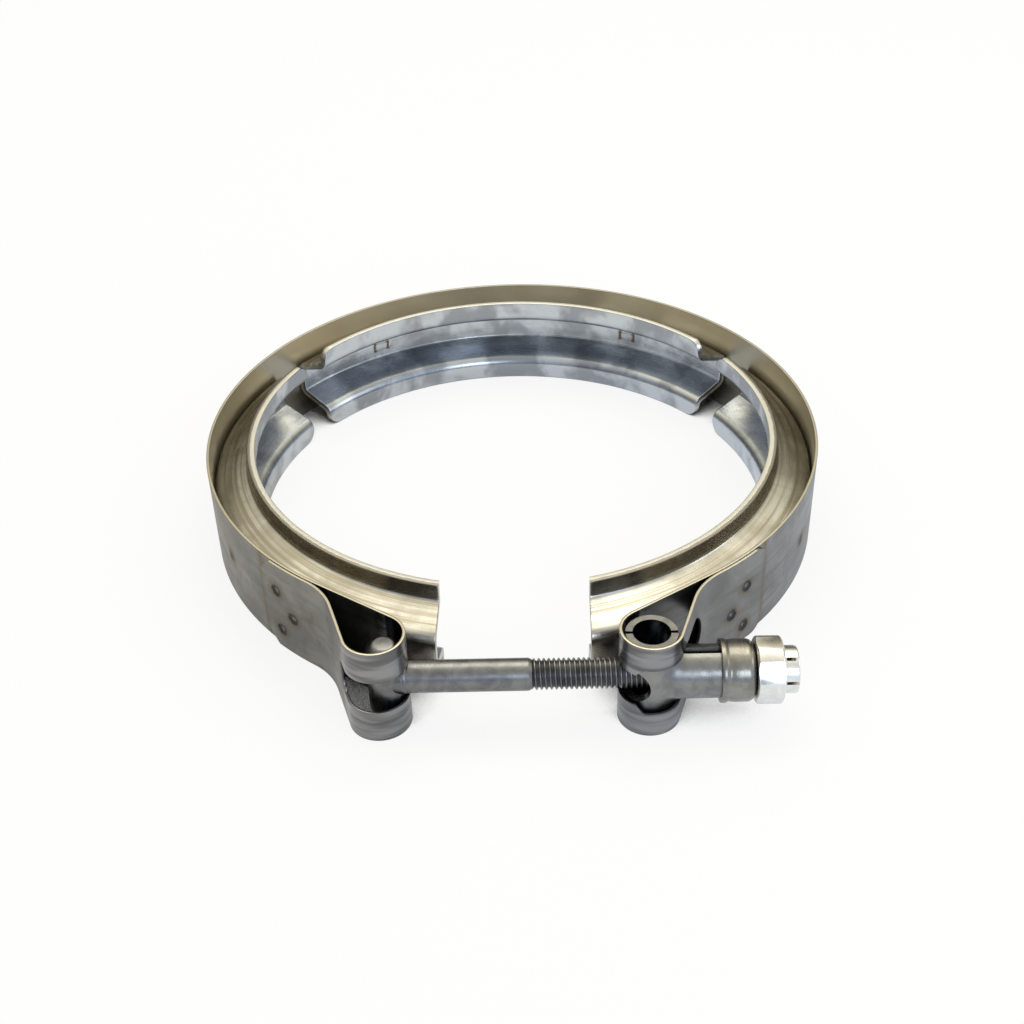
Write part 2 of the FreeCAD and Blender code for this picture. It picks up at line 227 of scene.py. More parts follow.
def frameAlong(route, s):
    # place and heading at a distance along a route of straight runs and bends
    place, heading = route["start"].copy(), route["heading"]
    for i, (length, radius) in enumerate(route["runs"]):
        last = s <= length or i == len(route["runs"]) - 1
        step = s if last else length
        left = Vector((-math.sin(heading), math.cos(heading)))
        if radius is None:
            place = place + Vector((math.cos(heading), math.sin(heading))) * step
        else:
            turn = step / radius
            centre = place + left * radius
            heading += turn
            place = centre + Vector((math.sin(heading), -math.cos(heading))) * radius
        if last:
            break
        s -= length
    return place, Vector((-math.sin(heading), math.cos(heading)))


def routeMarks(route, stepAngle, longestStep):
    # distances at which a sheet needs an edge across it to follow its route
    marks, s = [0.0], 0.0
    for length, radius in route["runs"]:
        if radius is None:
            count = max(1, math.ceil(length / longestStep))
        else:
            bend = math.degrees(length / abs(radius))
            count = max(1, math.ceil(bend / stepAngle), math.ceil(length / longestStep))
        marks += [s + length * (i + 1) / count for i in range(count)]
        s += length
    return marks


# Materials

def addNode(tree, kind, inputs=None, **settings):
    made = tree.nodes.new(kind)
    for name, value in settings.items():
        setattr(made, name, value)
    for name, value in (inputs or {}).items():
        if isinstance(value, bpy.types.NodeSocket):
            tree.links.new(value, made.inputs[name])
        elif value is not None:
            made.inputs[name].default_value = value
    return made


def calc(tree, operation, first, second=None, third=None):
    return addNode(tree, "ShaderNodeMath", {0: first, 1: second, 2: third}, operation=operation).outputs[0]


def times(tree, first, second):
    return calc(tree, "MULTIPLY", first, second)


def plus(tree, first, second):
    return calc(tree, "ADD", first, second)


def minus(tree, first, second):
    return calc(tree, "SUBTRACT", first, second)


def larger(tree, first, second):
    return calc(tree, "MAXIMUM", first, second)


def absolute(tree, value):
    return calc(tree, "ABSOLUTE", value)


def ramp(tree, value, low, high, outLow=0.0, outHigh=1.0):
    made = addNode(tree, "ShaderNodeMapRange", {
        "Value": value, "From Min": low, "From Max": high, "To Min": outLow, "To Max": outHigh,
    }, interpolation_type="SMOOTHSTEP")
    return made.outputs["Result"]


def blendColours(tree, factor, first, second):
    made = addNode(tree, "ShaderNodeMix", data_type="RGBA")
    for socket, value in ((0, factor), (6, first), (7, second)):
        if isinstance(value, bpy.types.NodeSocket):
            tree.links.new(value, made.inputs[socket])
        else:
            made.inputs[socket].default_value = value if socket == 0 else (*value, 1)
    return made.outputs[2]


def noiseAt(tree, vector, scale, detail=3.0, roughness=0.5, distortion=0.0):
    made = addNode(tree, "ShaderNodeTexNoise", {
        "Vector": vector, "Scale": scale, "Detail": detail, "Roughness": roughness, "Distortion": distortion,
    })
    return made.outputs["Fac"]


def ringCoordinates(tree):
    # Object coordinates in millimetres, with the radius and the angle about an upright axis
    place = addNode(tree, "ShaderNodeTexCoord").outputs["Object"]
    large = addNode(tree, "ShaderNodeVectorMath", {0: place, 3: 1000.0}, operation="SCALE").outputs[0]
    parts = addNode(tree, "ShaderNodeSeparateXYZ", {0: large}).outputs
    x, y = parts[0], parts[1]
    squares = plus(tree, times(tree, x, x), times(tree, y, y))
    return {
        "place": large, "x": x, "y": y, "z": parts[2],
        "radius": calc(tree, "SQRT", squares), "angle": calc(tree, "ARCTAN2", y, x),
    }


def stretched(tree, values, scales):
    # a place made of three values, each times its scale
    scaled = [times(tree, value, scale) for value, scale in zip(values, scales)]
    return addNode(tree, "ShaderNodeCombineXYZ", dict(enumerate(scaled))).outputs[0]


def wavering(tree, ring, scale, reach, detail=3.0):
    # a value that wanders to both sides of zero
    wander = minus(tree, noiseAt(tree, ring["place"], scale, detail), 0.5)
    return times(tree, wander, reach)


def newMaterial(name):
    material = bpy.data.materials.new(name)
    material.use_nodes = True
    tree = material.node_tree
    return material, tree, tree.nodes["Principled BSDF"]


def finishMetal(tree, shader, colour, rough, height, strength, distance):
    bump = addNode(tree, "ShaderNodeBump", {"Height": height, "Strength": strength, "Distance": distance})
    shader.inputs["Metallic"].default_value = 1.0
    for name, value in (("Base Color", colour), ("Roughness", rough), ("Normal", bump.outputs[0])):
        tree.links.new(value, shader.inputs[name])


strapSettings = {
    "outerRadius": 89.4, "width": 28.7, "thickness": 0.8,
    "flapGap": 0.15, "flapRun": 25.2, "flapLength": 18.7, "flapCorner": 4.8, "foldRadius": 20.0,
    "loopSpread": 68.4, "loopStandoff": 10.4, "loopInner": 7.25,
    "windowHalf": 4.95, "windowCorner": 2.6, "pastNose": 47.0, "boltWindowRun": 5.2,
    "tubeWindowHalf": 7.2, "tubeWindowStep": 57.0, "tubeWindowRun": 19.8, "tubeWindowCorner": 7.0,
    "rim": 0.13, "ring": 0.3,
    "weldRadius": 1.9, "weldDent": 0.3,
    "leftWelds": ((43.8, 5.5), (40.2, -1.4), (43.6, -7.8)),      # azimuth from -Y, height
    "rightWelds": ((43.0, 4.5), (39.6, -2.5), (42.9, -8.8)),
    "dimples": ((-60.9, 0.8), (64.3, -1.5)),
    "colour": (0.25, 0.247, 0.236), "dark": (0.17, 0.168, 0.163), "stain": (0.15, 0.115, 0.07),
    "loopReflectionLight": (0.285, 0.285, 0.293), "loopReflectionDark": (0.135, 0.135, 0.142), "inner": (0.48, 0.45, 0.37),
    "edge": (0.52, 0.485, 0.40), "weldColour": (0.045, 0.045, 0.05), "weldCentre": (0.17, 0.165, 0.16),
    "shaded": (0.018, 0.02, 0.026),
}


def loopPlace():
    s = strapSettings
    distance = s["outerRadius"] + s["loopStandoff"]
    across = s["loopSpread"] / 2
    return across, -math.sqrt(distance ** 2 - across ** 2)


def strapMaterial():
    s = strapSettings
    material, tree, shader = newMaterial("stainlessStrap")
    ring = ringCoordinates(tree)
    fromLoop = loopDistance(tree, ring)
    rolledPlace = (times(tree, ring["angle"], 89.0), ring["radius"], ring["z"])
    bands = noiseAt(tree, stretched(tree, rolledPlace, (0.03, 0.15, 0.55)), 1.0, 6.0, 0.65)
    scratches = noiseAt(tree, stretched(tree, rolledPlace, (0.35, 1.0, 5.0)), 1.0, 2.0, 0.6)
    clouds = noiseAt(tree, ring["place"], 0.07, 4.0, 0.6, 0.4)
    grain = noiseAt(tree, ring["place"], 5.0, 3.0, 0.6)
    colour = blendColours(tree, ramp(tree, clouds, 0.35, 0.65), s["dark"], s["colour"])
    colour = blendColours(tree, ramp(tree, bands, 0.35, 0.7, 0.0, 0.6), colour, s["dark"])
    smudges = ramp(tree, noiseAt(tree, ring["place"], 0.13, 6.0, 0.75, 1.5), 0.53, 0.7, 0.0, 0.5)
    colour = blendColours(tree, smudges, colour, s["stain"])
    # the loops are polished and get painted reflection bands of light and dark, and the side towards the segments is
    # lighter
    polishAndReflection = ramp(tree, fromLoop, s["loopInner"] + 2.6, s["loopInner"] + 1.2)
    waved = stretched(tree, (ring["x"], ring["y"], ring["z"]), (0.05, 0.05, 0.36))
    reflectionBands = ramp(tree, noiseAt(tree, waved, 1.0, 2.0, 0.45, 0.3), 0.36, 0.62)
    paintedLoopReflection = blendColours(tree, reflectionBands, s["loopReflectionDark"], s["loopReflectionLight"])
    colour = blendColours(tree, polishAndReflection, colour, paintedLoopReflection)
    inner = ramp(tree, ring["radius"], s["outerRadius"] - 0.35, s["outerRadius"] - 0.5)
    colour = blendColours(tree, inner, colour, s["inner"])
    colour = blendColours(tree, flapEndLine(tree, ring), colour, s["stain"])
    # painted shade inside the loops and on the sheet behind them
    colour = blendColours(tree, paintedLoopShade(tree, ring, fromLoop), colour, s["shaded"])
    # painted highlight: a warm light line along the strap's top and bottom edges
    edge = ramp(tree, absolute(tree, ring["z"]), s["width"] / 2 - 0.1, s["width"] / 2 - 0.03)
    colour = blendColours(tree, edge, colour, s["edge"])
    colour, heat = weldMarks(tree, ring, colour)
    rough = plus(tree, ramp(tree, bands, 0.25, 0.75, 0.34, 0.46), times(tree, heat, 0.08))
    rough = minus(tree, rough, times(tree, polishAndReflection, 0.12))
    height = plus(tree, times(tree, scratches, 0.7), times(tree, grain, 0.6))
    finishMetal(tree, shader, colour, rough, height, 0.3, 0.00003)
    return material


def loopDistance(tree, ring):
    # how far a point lies from the axis of the loop on its side
    across, forward = loopPlace()
    x = minus(tree, absolute(tree, ring["x"]), across)
    y = minus(tree, ring["y"], forward)
    return calc(tree, "SQRT", plus(tree, times(tree, x, x), times(tree, y, y)))


def flapEndLine(tree, ring):
    # a brown line on the strap along each flap's end
    s = strapSettings
    across, forward = loopPlace()
    flapEnd = math.atan2(across, -forward) + (s["flapRun"] + s["flapLength"]) / s["outerRadius"]
    azimuth = calc(tree, "ARCTAN2", absolute(tree, ring["x"]), times(tree, ring["y"], -1))
    past = times(tree, minus(tree, azimuth, flapEnd), s["outerRadius"])
    waver = wavering(tree, ring, 0.5, 1.5, 4.0)
    line = ramp(tree, absolute(tree, minus(tree, past, 0.3)), 0.6, 0.15, 0.0, 0.95)
    halo = ramp(tree, absolute(tree, plus(tree, past, waver)), 2.6, 0.3, 0.0, 0.6)
    outside = calc(tree, "GREATER_THAN", ring["radius"], s["outerRadius"] - 0.2)
    return times(tree, larger(tree, line, halo), outside)


def paintedLoopShade(tree, ring, fromLoop):
    # the inner faces of the two loops, and of the straight sheet behind each, get painted shade
    s = strapSettings
    inLoop = ramp(tree, fromLoop, s["loopInner"] + 0.35, s["loopInner"] + 0.15)
    beyond = ramp(tree, ring["radius"], s["outerRadius"] - 0.3, s["outerRadius"] - 0.1)
    behind = ramp(tree, ring["radius"], s["outerRadius"] + 0.12, s["outerRadius"] + 0.06)
    covered = times(tree, times(tree, beyond, behind), calc(tree, "LESS_THAN", ring["y"], -72.0))
    front = ramp(tree, ring["y"], loopPlace()[1] - 3.5, loopPlace()[1] - 1.0, 0.15, 1.0)
    return times(tree, larger(tree, inLoop, covered), front)


def weldMarks(tree, ring, colour):
    # each spot weld has a dark pit with a lighter middle, a brown outline and a faint stain
    s = strapSettings
    heat = None
    spots = [(-azimuth, z) for azimuth, z in s["leftWelds"]] + list(s["rightWelds"]) + list(s["dimples"])
    waver = wavering(tree, ring, 0.8, 1.3)
    for azimuth, z in spots:
        centre = tuple(polar(s["outerRadius"] + s["thickness"], azimuth - 90, z))
        gap = addNode(tree, "ShaderNodeVectorMath", {0: ring["place"], 1: centre}, operation="DISTANCE")
        gap = plus(tree, gap.outputs["Value"], waver)
        halo = ramp(tree, gap, 4.6, 2.0, 0.0, 0.45)
        line = ramp(tree, absolute(tree, minus(tree, gap, 2.05)), 0.4, 0.1, 0.0, 0.8)
        colour = blendColours(tree, larger(tree, halo, line), colour, s["stain"])
        depth = 0.5 if (azimuth, z) in s["dimples"] else 1.0
        colour = blendColours(tree, ramp(tree, gap, 1.95, 1.7, 0.0, depth), colour, s["weldColour"])
        colour = blendColours(tree, ramp(tree, gap, 0.9, 0.35), colour, s["weldCentre"])
        heat = halo if heat is None else larger(tree, heat, halo)
    return colour, heat


segmentSettings = {
    "sheet": 2.3, "height": 28.4, "lipInner": 75.5, "landOuter": 88.4, "landHalf": 5.4, "slope": 20.0,
    "lipBend": 1.5, "landBend": 0.8, "span": 105.7, "rearGap": 6.6, "frontGap": 39.2, "corner": 4.2,
    "rim": 0.28, "ring": 0.6, "frontTilt": 1.0,
    "colour": (0.72, 0.705, 0.675), "dark": (0.45, 0.435, 0.395), "rolled": (0.34, 0.305, 0.235),
    "coolReflection": (0.56, 0.59, 0.63), "coolReflectionDark": (0.31, 0.33, 0.36),
    "rimColour": (0.72, 0.71, 0.67), "sheared": (0.30, 0.28, 0.25),
    "weldMarks": (31.3, -27.3), "weldMark": (5.0, 2.5), "stain": (0.11, 0.075, 0.04),
}


def segmentMaterial():
    s = segmentSettings
    material, tree, shader = newMaterial("rolledSegment")
    ring = ringCoordinates(tree)
    rolledPlace = (times(tree, ring["angle"], 80.0), ring["radius"], ring["z"])
    streaks = noiseAt(tree, stretched(tree, rolledPlace, (0.05, 1.1, 1.1)), 1.0, 6.0, 0.6)
    clouds = noiseAt(tree, ring["place"], 0.07, 3.0, 0.55, 0.3)
    grain = noiseAt(tree, ring["place"], 3.2, 4.0, 0.7)
    colour = blendColours(tree, ramp(tree, clouds, 0.35, 0.65), s["dark"], s["colour"])
    colour = blendColours(tree, ramp(tree, streaks, 0.45, 0.75, 0.0, 0.5), colour, s["dark"])
    lined = stretched(tree, rolledPlace, (0.008, 0.75, 0.0))
    lines = ramp(tree, noiseAt(tree, lined, 1.0, 5.0, 0.6), 0.45, 0.62, 0.0, 0.85)
    colour = blendColours(tree, lines, colour, s["rolled"])
    # painted reflection: the faces towards the ring's axis take a cool bluish tint, in lighter and darker clouds
    coolReflection = blendColours(tree, ramp(tree, clouds, 0.4, 0.6), s["coolReflectionDark"], s["coolReflection"])
    # the side that faces the ring's axis lies under the legs' middle surface or within the lips
    slope = math.tan(math.radians(s["slope"]))
    inwards = minus(tree, s["landOuter"], ring["radius"])
    middle = calc(tree, "MULTIPLY_ADD", inwards, slope, s["landHalf"] - s["sheet"] * 0.5)
    height = absolute(tree, ring["z"])
    under = ramp(tree, minus(tree, middle, height), -0.1, 0.1)
    within = ramp(tree, ring["radius"], s["lipInner"] + 0.9, s["lipInner"] + 0.4)
    inner = larger(tree, times(tree, under, ramp(tree, ring["radius"], 87.6, 87.2)), within)
    colour = blendColours(tree, inner, colour, coolReflection)
    # two spot welds show on the rear land as rectangles outlined in brown
    landInner = s["landOuter"] - s["sheet"]
    markLength, markHeight = s["weldMark"]
    for azimuth in s["weldMarks"]:
        across = times(tree, minus(tree, ring["angle"], math.radians(90 + azimuth)), landInner)
        across = absolute(tree, across)
        out = larger(tree, minus(tree, across, markLength / 2), minus(tree, height, markHeight / 2))
        line = ramp(tree, absolute(tree, plus(tree, out, wavering(tree, ring, 1.1, 1.2))), 0.8, 0.1)
        line = times(tree, line, ramp(tree, across, 1.4, 2.2, 0.3, 1.0))
        colour = blendColours(tree, times(tree, line, inner), colour, s["stain"])
    rimTop = ramp(tree, height, s["height"] / 2 - 0.25, s["height"] / 2 - 0.1)
    ragged = times(tree, noiseAt(tree, ring["place"], 0.6), 0.5)
    shear = ramp(tree, plus(tree, ring["radius"], ragged), 77.0, 77.3)
    colour = blendColours(tree, rimTop, colour, s["rimColour"])
    colour = blendColours(tree, times(tree, rimTop, shear), colour, s["sheared"])
    rough = ramp(tree, streaks, 0.2, 0.8, 0.2, 0.3)
    rough = plus(tree, rough, times(tree, rimTop, 0.15))
    pits = times(tree, grain, plus(tree, times(tree, rimTop, 4.0), 1.3))
    finishMetal(tree, shader, colour, rough, plus(tree, streaks, pits), 0.35, 0.00004)
    return material


# rough is the range of the roughness, grain and bump are the surface's scale and strength, and turned metal has
# rings about the bolt's axis; hollow holds the radii of the barrel and the tube, and the painted shade inside them
steelSettings = {
    "boltSteel": {
        "colour": (0.24, 0.24, 0.245), "dark": (0.16, 0.16, 0.17),
        "rough": (0.26, 0.38), "grain": 4.0, "bump": 0.35, "turned": True},
    "trunnionStainless": {
        "colour": (0.27, 0.27, 0.265), "dark": (0.19, 0.19, 0.19),
        "rough": (0.24, 0.34), "grain": 3.0, "bump": 0.4, "turned": False,
        "hollow": (4.7, 5.0, (0.05, 0.055, 0.07))},
    "ferruleSteel": {
        "colour": (0.30, 0.29, 0.265), "dark": (0.22, 0.21, 0.19),
        "rough": (0.2, 0.3), "grain": 4.0, "bump": 0.3, "turned": True},
    "silverPlating": {
        "colour": (0.86, 0.85, 0.82), "dark": (0.76, 0.75, 0.71),
        "rough": (0.22, 0.34), "grain": 2.5, "bump": 0.3, "turned": False},
}


def steelMaterial(name):
    s = steelSettings[name]
    material, tree, shader = newMaterial(name)
    ring = ringCoordinates(tree)
    scales = (2.0, 0.25, 0.25) if s["turned"] else (0.4, 0.4, 0.4)
    streaks = noiseAt(tree, stretched(tree, (ring["x"], ring["y"], ring["z"]), scales), 1.0, 5.0, 0.6)
    clouds = noiseAt(tree, ring["place"], 0.22, 4.0, 0.6, 0.5)
    grain = noiseAt(tree, ring["place"], s["grain"], 3.0, 0.6)
    colour = blendColours(tree, ramp(tree, clouds, 0.35, 0.65), s["dark"], s["colour"])
    # painted shade inside the barrel, the tube and the seams
    if "hollow" in s:
        barrel, tube, shade = s["hollow"]
        y = minus(tree, ring["y"], loopPlace()[1])
        level = plus(tree, times(tree, y, y), times(tree, ring["z"], ring["z"]))
        level = calc(tree, "SQRT", level)
        inBarrel = ramp(tree, loopDistance(tree, ring), barrel + 0.12, barrel + 0.04)
        inTube = ramp(tree, level, tube + 0.12, tube + 0.04)
        inSeam = times(tree, ramp(tree, absolute(tree, y), 0.85, 0.7), ramp(tree, level, tube + 1.65, tube + 1.4))
        inSeam = times(tree, inSeam, calc(tree, "GREATER_THAN", ring["z"], 4.0))
        paintedHollowShade = larger(tree, larger(tree, inBarrel, inTube), inSeam)
        colour = blendColours(tree, paintedHollowShade, colour, shade)
    rough = ramp(tree, streaks, 0.25, 0.75, *s["rough"])
    finishMetal(tree, shader, colour, rough, plus(tree, streaks, grain), s["bump"], 0.00003)
    return material


strapMetal = strapMaterial()
segmentMetal = segmentMaterial()
boltMetal = steelMaterial("boltSteel")
trunnionMetal = steelMaterial("trunnionStainless")
ferruleMetal = steelMaterial("ferruleSteel")
nutMetal = steelMaterial("silverPlating")
print("stage 2: materials made")


# Strap

def strapRoute():
    # the sheet's middle from a flap's free end, round its loop, to the middle of the rear
    s = strapSettings
    half = s["thickness"] / 2
    flapMid = s["outerRadius"] + s["flapGap"] + half
    strapMid = s["outerRadius"] - half
    loopMid = s["loopInner"] + half
    across, forward = loopPlace()
    loop = Vector((-across, forward))
    azimuth = math.degrees(math.atan2(across, -forward))
    landing = azimuth + math.degrees(s["flapRun"] / s["outerRadius"])
    flapEnd = landing + math.degrees(s["flapLength"] / s["outerRadius"])

    def touching(centre1, radius1, centre2, radius2, side):
        gap = centre2 - centre1
        angle = math.atan2(gap.y, gap.x) + side * math.acos((radius1 + radius2) / gap.length)
        spoke = Vector((math.cos(angle), math.sin(angle)))
        return centre1 + spoke * radius1, centre2 - spoke * radius2, math.degrees(angle)

    fold = polar(flapMid + s["foldRadius"], -90 - landing).to_2d()
    loopLeave, foldLeave, leaveAngle = touching(loop, loopMid, fold, s["foldRadius"], 1)
    runLeave, loopMeet, runAngle = touching(Vector((0, 0)), strapMid, loop, loopMid, -1)
    foldTurn = (-90 - landing + 180) - (leaveAngle + 180 - 360)
    loopTurn = runAngle + 180 + 360 - leaveAngle
    rearTurn = runAngle + 270
    runs = [
        (flapMid * math.radians(flapEnd - landing), flapMid),
        (s["foldRadius"] * math.radians(foldTurn), -s["foldRadius"]),
        ((foldLeave - loopLeave).length, None),
        (loopMid * math.radians(loopTurn), loopMid),
        ((loopMeet - runLeave).length, None),
        (strapMid * math.radians(rearTurn), -strapMid),
    ]
    start = polar(flapMid, -90 - flapEnd).to_2d()
    return {
        "start": start, "heading": math.radians(-flapEnd), "runs": runs, "flapEnd": flapEnd,
        "flapMid": flapMid, "loopMid": loopMid, "strapMid": strapMid, "leaveAngle": leaveAngle, "loop": loop,
    }


route = strapRoute()
runEnds = [sum(run[0] for run in route["runs"][:i + 1]) for i in range(len(route["runs"]))]
halfLength = runEnds[-1]


def bendStrap(flat):
    # a point of the flat blank, x along and z through it, on the folded strap
    side = -1 if flat.x > 0 else 1
    place, left = frameAlong(route, halfLength - abs(flat.x))
    point = place + left * flat.z
    return Vector((point.x * side, point.y, flat.y))


def makeStrap():
    s = strapSettings
    width = s["width"]
    bm = flatBlank(2 * halfLength, width)
    marks = [halfLength - mark for mark in routeMarks(route, 5.0, 2.4) if 0 < mark < halfLength]
    columns = marks + [-mark for mark in marks] + [0.0]
    sliceAt(bm, columns)
    for y in (width / 2, -width / 2):
        trimCorner(bm, -halfLength, y, s["flapCorner"], 1)
        trimCorner(bm, halfLength, y, s["flapCorner"], 6)
    loopStart = runEnds[2]
    nose = loopStart + route["loopMid"] * math.radians(360 - route["leaveAngle"])
    windowEnd = nose + route["loopMid"] * math.radians(s["pastNose"])
    tubeStart = nose - route["loopMid"] * math.radians(s["tubeWindowStep"])
    boltHole = roundedOutline(
        -halfLength + loopStart - s["boltWindowRun"], -halfLength + windowEnd, s["windowHalf"],
        s["windowCorner"], s["windowCorner"])
    entryHole = roundedOutline(
        halfLength - windowEnd, halfLength - tubeStart + 6, s["windowHalf"], s["windowCorner"], s["windowCorner"])
    tubeHole = roundedOutline(
        halfLength - tubeStart, halfLength - loopStart + s["tubeWindowRun"], s["tubeWindowHalf"],
        s["tubeWindowHalf"] - s["windowHalf"], s["tubeWindowCorner"], steps1=1)
    for hole in (boltHole, entryHole, tubeHole):
        cutOutline(bm, hole)
    supportLoop(bm, s["ring"], columns)
    for side in (-1, 1):
        low, high = sorted((side * halfLength, side * (halfLength - runEnds[0] + 1.0)))
        sliceAt(bm, [low + 0.4 * i for i in range(1, int((high - low) / 0.4))])
        sliceAt(bm, [0.4 * i - width / 2 for i in range(1, int(width / 0.4))], axis=1, within=(low, high))
    dents = []
    for side, welds in ((-1, s["leftWelds"]), (1, s["rightWelds"])):
        for azimuth, z in welds:
            along = route["flapMid"] * math.radians(route["flapEnd"] - azimuth)
            dents.append((Vector((side * (halfLength - along), z)), -1))
    for azimuth, z in s["dimples"]:
        along = route["strapMid"] * math.radians(180 - abs(azimuth))
        middle = Vector((along * (1 if azimuth > 0 else -1), z))
        dents.append((middle, 1))
        sliceAt(bm, [middle.x + 0.45 * i for i in range(-7, 8)])
        sliceAt(bm, [z + 0.45 * i for i in range(-8, 9)], axis=1, within=(middle.x - 3.2, middle.x + 3.2))
    thicken(bm, s["thickness"], s["rim"], 2)
    for vert in bm.verts:
        for middle, face in dents:
            gap = (vert.co.to_2d() - middle).length / s["weldRadius"]
            if gap < 1.6 and vert.co.z * face > 0.2:
                bowl = max(0.0, 1 - gap ** 2) ** 0.7 * s["weldDent"]
                lip = 0.06 * math.exp(-((gap - 1.1) / 0.16) ** 2)
                vert.co.z -= face * (bowl - lip)
    for vert in bm.verts:
        vert.co = bendStrap(vert.co)
    return makePiece("strapBand", bm, strapMetal, "band", "strap")


makeStrap()
print("stage 3: strap folded")


# V segments

def segmentRoute():
    s = segmentSettings
    slope = math.radians(s["slope"])
    half = s["sheet"] / 2
    lipMid = s["lipInner"] + half
    landMid = s["landOuter"] - half
    drop = half / math.cos(slope)
    lipZ = s["landHalf"] + (s["landOuter"] - lipMid) * math.tan(slope) - drop
    landZ = s["landHalf"] + half * math.tan(slope) - drop
    turn = math.radians(90 - s["slope"])
    lipBend, landBend = s["lipBend"] + half, s["landBend"] + half
    lipCut, landCut = lipBend * math.tan(turn / 2), landBend * math.tan(turn / 2)
    leg = (landMid - lipMid) / math.cos(slope)
    upper = [
        (s["height"] / 2 - lipZ - lipCut, None), (turn * lipBend, lipBend),
        (leg - lipCut - landCut, None), (turn * landBend, -landBend), (landZ - landCut, None),
    ]
    return {
        "start": Vector((lipMid, s["height"] / 2)), "heading": math.radians(-90),
        "runs": upper + upper[::-1], "lipMid": lipMid,
    }


def makeSegment(name, node, start, end, frontEnd, mirror=1):
    # start and end are angles on the ring; a front end is cut square, level with the T-bolt's axis
    s = segmentSettings
    profile = segmentRoute()
    girth = sum(run[0] for run in profile["runs"])
    length = profile["lipMid"] * math.radians(end - start)
    bm = flatBlank(length, girth)
    for x in (-length / 2,) if frontEnd else (-length / 2, length / 2):
        for y in (-girth / 2, girth / 2):
            trimCorner(bm, x, y, s["corner"], 7)
    supportLoop(bm, s["ring"])
    sliceAt(bm, [mark - girth / 2 for mark in routeMarks(profile, 10.0, 2.0)[1:-1]], axis=1)
    columns = round((end - start) / 1.25)
    sliceAt(bm, [length * (i / columns - 0.5) for i in range(1, columns)])
    thicken(bm, s["sheet"], s["rim"], 3)
    for vert in bm.verts:
        place, left = frameAlong(profile, vert.co.y + girth / 2)
        point = place - left * vert.co.z
        share = vert.co.x / length + 0.5
        reach = end
        if frontEnd:
            tilt = s["frontTilt"] * (s["landOuter"] - point.x) / (s["landOuter"] - s["lipInner"])
            gap = s["frontGap"] / 2 - (tilt if mirror > 0 else -0.2)
            reach = 270 - math.degrees(math.asin(gap / point.x))
        vert.co = polar(point.x, start + (reach - start) * share, point.y)
        vert.co.x *= mirror
    if mirror < 0:
        # a mirror turns the sheet inside out
        bmesh.ops.reverse_faces(bm, faces=bm.faces[:])
    return makePiece(name, bm, segmentMetal, "band", node)


rearStart = 90 - segmentSettings["span"] / 2
sideStart = 180 - rearStart + segmentSettings["rearGap"]
sideEnd = 270 - math.degrees(math.asin(segmentSettings["frontGap"] / 2 / segmentSettings["landOuter"]))
makeSegment("leftSegmentSheet", "left_segment", sideStart, sideEnd, True)
makeSegment("rearSegmentSheet", "rear_segment", rearStart, 180 - rearStart, False)
makeSegment("rightSegmentSheet", "right_segment", sideStart, sideEnd, True, -1)
print("stage 4: segments rolled")


# T-bolt

boltSettings = {
    "thread": 4.0, "pitch": 1.25, "root": 3.3, "crestShare": 0.16, "threadSteps": 36,
    "shank": 4.15, "shankLength": 36.6, "chamfer": 0.9,
    "head": 4.7, "headLength": 22.4, "headGap": 0.3, "headChamfer": 2.0, "headSoft": 0.5,
    "weldReach": 0.8, "weldHeight": 0.22, "tipX": 70.25, "tipChamfer": 0.8,
}
axisY = route["loop"].y
headX = route["loop"].x + strapSettings["loopInner"] - boltSettings["headGap"] - boltSettings["head"]


def spinOutline(bm, points, steps, turns=1, advance=0.0, merge=True):
    # turns an outline of (x, radius) points about the X axis, and moves it on at each step for a thread
    verts = [bm.verts.new((x, 0, radius)) for x, radius in points]
    edges = [bm.edges.new(pair) for pair in zip(verts, verts[1:])]
    if points[0] == points[-1]:
        bmesh.ops.remove_doubles(bm, verts=verts, dist=1e-6)
        verts, edges = bm.verts[:], bm.edges[:]
    bmesh.ops.spin(bm, geom=verts + edges, cent=(0, 0, 0), axis=(1, 0, 0), dvec=(advance, 0, 0),
                   angle=math.tau * turns, steps=steps, use_merge=merge)


def turnedBody(points, steps=64):
    # a closed body turned about the bolt's axis, from (x, radius) points that start and end on it
    bm = bmesh.new()
    spinOutline(bm, points, steps)
    bmesh.ops.remove_doubles(bm, verts=bm.verts[:], dist=1e-4)
    bmesh.ops.recalc_face_normals(bm, faces=bm.faces[:])
    return bm


def softened(points, radius, steps=3, skip=()):
    # rounds the inner corners of an open outline of (x, radius) points
    result = [points[0]]
    for i in range(1, len(points) - 1):
        before, corner, after = Vector(points[i - 1]), Vector(points[i]), Vector(points[i + 1])
        if i in skip:
            result.append(points[i])
            continue
        wayIn, wayOut = (before - corner), (after - corner)
        reach = min(radius, wayIn.length * 0.45, wayOut.length * 0.45)
        start, end = corner + wayIn.normalized() * reach, corner + wayOut.normalized() * reach
        for k in range(steps + 1):
            t = k / steps
            result.append(tuple(start * (1 - t) ** 2 + corner * 2 * t * (1 - t) + end * t ** 2))
    result.append(points[-1])
    return result


